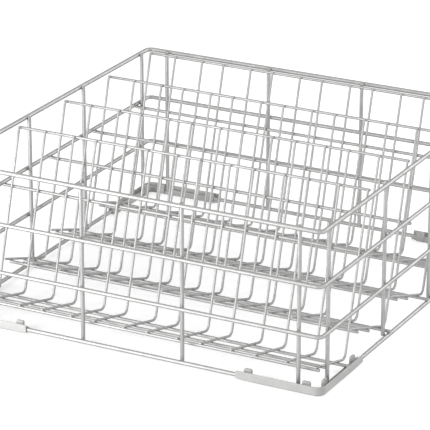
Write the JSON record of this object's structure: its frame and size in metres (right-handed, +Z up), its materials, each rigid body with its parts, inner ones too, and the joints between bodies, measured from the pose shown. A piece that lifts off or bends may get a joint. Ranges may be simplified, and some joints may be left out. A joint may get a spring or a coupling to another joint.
{
  "type": "dishwasher glass rack",
  "caption": "Square steel-wire rack that holds glasses at a lean on rows of bent wires inside welded rings and posts, on moulded corner glides.",
  "frame": {"origin": "on the floor under the middle of the rack", "axes": "+X to the right along the front, +Y to the back, +Z up"},
  "size_m": [0.498, 0.498, 0.2011],
  "materials": {
    "steel_wire": "satin",
    "glide_plastic": "satin"
  },
  "bodies": {
    "root": {"back_post_1": "steel_wire", "back_post_2": "steel_wire", "back_post_3": "steel_wire", "back_post_4": "steel_wire", "base_ring": "steel_wire", "front_left_glide": "glide_plastic", "front_post_1": "steel_wire", "front_post_2": "steel_wire", "front_post_3": "steel_wire", "front_post_4": "steel_wire", "front_right_glide": "glide_plastic", "left_post_1": "steel_wire", "left_post_2": "steel_wire", "left_post_3": "steel_wire", "left_post_4": "steel_wire", "lower_ring": "steel_wire", "rear_left_glide": "glide_plastic", "rear_right_glide": "glide_plastic", "right_post_1": "steel_wire", "right_post_2": "steel_wire", "right_post_3": "steel_wire", "right_post_4": "steel_wire", "row_1_base_front_bar": "steel_wire", "row_1_base_middle_bar": "steel_wire", "row_1_base_rear_bar": "steel_wire", "row_1_mid_bar": "steel_wire", "row_1_top_bar": "steel_wire", "row_1_wires": "steel_wire", "row_2_base_front_bar": "steel_wire", "row_2_base_middle_bar": "steel_wire", "row_2_base_rear_bar": "steel_wire", "row_2_mid_bar": "steel_wire", "row_2_top_bar": "steel_wire", "row_2_wires": "steel_wire", "row_3_base_front_bar": "steel_wire", "row_3_base_middle_bar": "steel_wire", "row_3_base_rear_bar": "steel_wire", "row_3_mid_bar": "steel_wire", "row_3_top_bar": "steel_wire", "row_3_wires": "steel_wire", "row_4_base_front_bar": "steel_wire", "row_4_base_middle_bar": "steel_wire", "row_4_base_rear_bar": "steel_wire", "row_4_mid_bar": "steel_wire", "row_4_top_bar": "steel_wire", "row_4_wires": "steel_wire", "top_rim": "steel_wire", "upper_ring": "steel_wire"}
  },
  "joints": []
}
